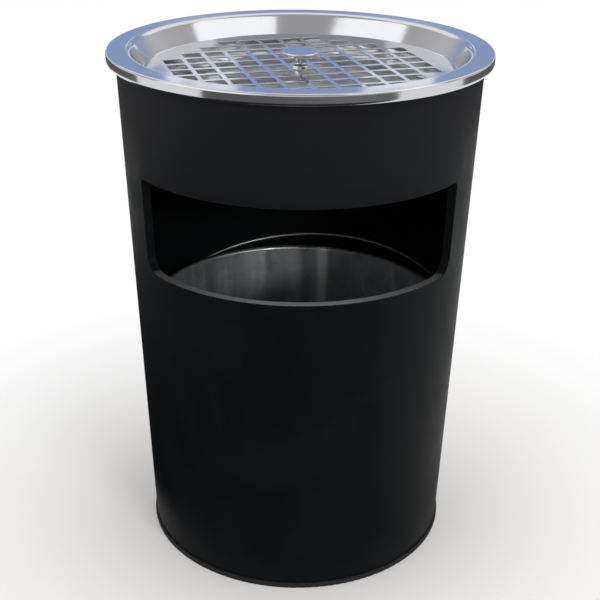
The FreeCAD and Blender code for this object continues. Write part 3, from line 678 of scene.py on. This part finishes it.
def add_flag(name, cloth, middle, half, near, far, shades=False):
    """A curved board between two edges, each a (radius, height), about the can's axis."""
    shape = bmesh.new()
    count = round(math.radians(2 * half) / FLAG_STEP)
    columns = []
    for step in range(count + 1):
        angle = math.radians(middle - half) + step * math.radians(2 * half) / count
        columns.append(
            [shape.verts.new((r * math.cos(angle), r * math.sin(angle), height)) for r, height in (near, far)]
        )
    for left, right in zip(columns, columns[1:]):
        shape.faces.new((left[0], right[0], right[1], left[1]))
    mesh = bpy.data.meshes.new(name)
    shape.to_mesh(mesh)
    shape.free()
    mesh.materials.append(cloth)
    flag = bpy.data.objects.new(name, mesh)
    flag.visible_camera = False
    flag.visible_diffuse = False
    flag.visible_shadow = shades
    bpy.context.scene.collection.objects.link(flag)


black_cloth = flag_cloth("black_flag_cloth", FLAG_BLACK)
grey_cloth = flag_cloth("grey_flag_cloth", FLAG_GREY)
add_flag("front_flag", black_cloth, middle=-90.0, half=55.0, near=(0.20, FLAG_LIFT), far=(1.05, FLAG_LIFT))
add_flag("far_flag", grey_cloth, middle=-90.0, half=55.0, near=(1.05, FLAG_LIFT), far=(3.8, FLAG_LIFT))
add_flag("left_flag", black_cloth, middle=165.0, half=60.0, near=(0.20, FLAG_LIFT), far=(0.95, FLAG_LIFT))
add_flag("back_flag", grey_cloth, middle=90.0, half=78.0, near=(1.7, 0.0), far=(1.7, 0.45))
add_flag(
    "window_flag", black_cloth, middle=-58.5, half=20.0, near=(0.73, 0.685), far=(0.73, 0.86), shades=True
)

# Light: a pale room that is blue low down behind the can, two soft boxes at the sides, one overhead and
# one beside the camera that shines in through the window. Two small windows far behind show in the
# front of the bright lip.
ROOM_STOPS = (
    (0.00, (0.46, 0.46, 0.46, 1.0)),
    (0.49, (0.46, 0.46, 0.46, 1.0)),
    (0.53, (0.60, 0.59, 0.58, 1.0)),
    (0.66, (0.66, 0.645, 0.645, 1.0)),
    (0.80, (0.46, 0.45, 0.46, 1.0)),
    (1.00, (0.50, 0.50, 0.51, 1.0)),
)
BLUE_STOPS = (
    (0.00, (0.46, 0.46, 0.46, 1.0)),
    (0.49, (0.46, 0.46, 0.47, 1.0)),
    (0.52, (0.56, 0.57, 0.64, 1.0)),
    (0.56, (0.29, 0.39, 0.66, 1.0)),
    (0.66, (0.31, 0.40, 0.62, 1.0)),
    (0.76, (0.41, 0.42, 0.46, 1.0)),
    (1.00, (0.50, 0.50, 0.51, 1.0)),
)
BLUE_FROM = 0.70
BLUE_AT = 0.92
CAN_TOP = (0.0, 0.0, 0.55)
WINDOW_MIDDLE = (0.0, -0.1, 0.38)
FAR_WINDOW_WARM = (1.0, 0.90, 0.66)
world = bpy.data.worlds.new("studio_room")
bpy.context.scene.world = world
world.use_nodes = True
tree = world.node_tree
sky_parts = split(tree, tree.nodes.new("ShaderNodeTexCoord").outputs["Generated"])
rise = ranged(tree, sky_parts[2], 0.0, 1.0, -1.0, 1.0)
shades = []
for stops in (ROOM_STOPS, BLUE_STOPS):
    ramp = add_node(tree, "ShaderNodeValToRGB", {0: rise})
    while len(ramp.color_ramp.elements) < len(stops):
        ramp.color_ramp.elements.new(0.5)
    for stop, (position, colour) in zip(ramp.color_ramp.elements, stops):
        stop.position = position
        stop.color = colour
    shades.append(ramp.outputs["Color"])
behind = ranged(tree, sky_parts[1], 0.0, 1.0, BLUE_FROM, BLUE_AT)
tree.links.new(blended(tree, behind, *shades), tree.nodes["Background"].inputs["Color"])


def soft_box(name, place, aim, width, height, watts):
    """A rectangular area light aimed at a point."""
    lamp = bpy.data.lights.new(name, "AREA")
    lamp.shape = "RECTANGLE"
    lamp.size = width
    lamp.size_y = height
    lamp.energy = watts
    made = bpy.data.objects.new(name, lamp)
    made.location = place
    made.rotation_euler = (Vector(aim) - Vector(place)).to_track_quat("-Z", "Y").to_euler()
    made.visible_camera = False
    bpy.context.scene.collection.objects.link(made)
    return made


soft_box("left_soft_box", (-1.85, -1.1, 1.85), CAN_TOP, width=2.7, height=1.8, watts=14.5)
soft_box("right_soft_box", (1.95, -1.0, 2.3), CAN_TOP, width=2.8, height=2.2, watts=18.5)
soft_box("window_soft_box", (1.35, -2.33, 1.33), WINDOW_MIDDLE, width=0.9, height=0.24, watts=22.0)
soft_box("overhead_soft_box", (0.0, 1.9, 3.2), CAN_TOP, width=6.0, height=3.4, watts=40.0)
for name, aside in (("far_left_window", -0.445), ("far_right_window", 0.445)):
    far_window = soft_box(name, (aside, 4.0, 1.57), CAN_TOP, width=0.32, height=0.22, watts=0.19)
    far_window.data.color = FAR_WINDOW_WARM

# Camera: where the photograph was taken from, in front of the can and somewhat above its top. Its place,
# its tilt and its lens were found from the can's own outline.
CAMERA_PLACE = (0.0, -1.206, 0.820)
CAMERA_DOWN = math.radians(24.5)
CAMERA_ROLL = math.radians(0.55)
CAMERA_SENSOR = 36.0
CAMERA_LENS = 69.84
CAMERA_SHIFT = 0.0032
camera_data = bpy.data.cameras.new("photo_camera")
camera_data.sensor_width = CAMERA_SENSOR
camera_data.lens = CAMERA_LENS
camera_data.shift_x = CAMERA_SHIFT
camera = bpy.data.objects.new("photo_camera", camera_data)
bpy.context.scene.collection.objects.link(camera)
camera.matrix_world = (
    Matrix.Translation(CAMERA_PLACE)
    @ Matrix.Rotation(math.pi / 2 - CAMERA_DOWN, 4, "X")
    @ Matrix.Rotation(CAMERA_ROLL, 4, "Z")
)
bpy.context.scene.camera = camera
bpy.context.scene.view_settings.view_transform = "Standard"
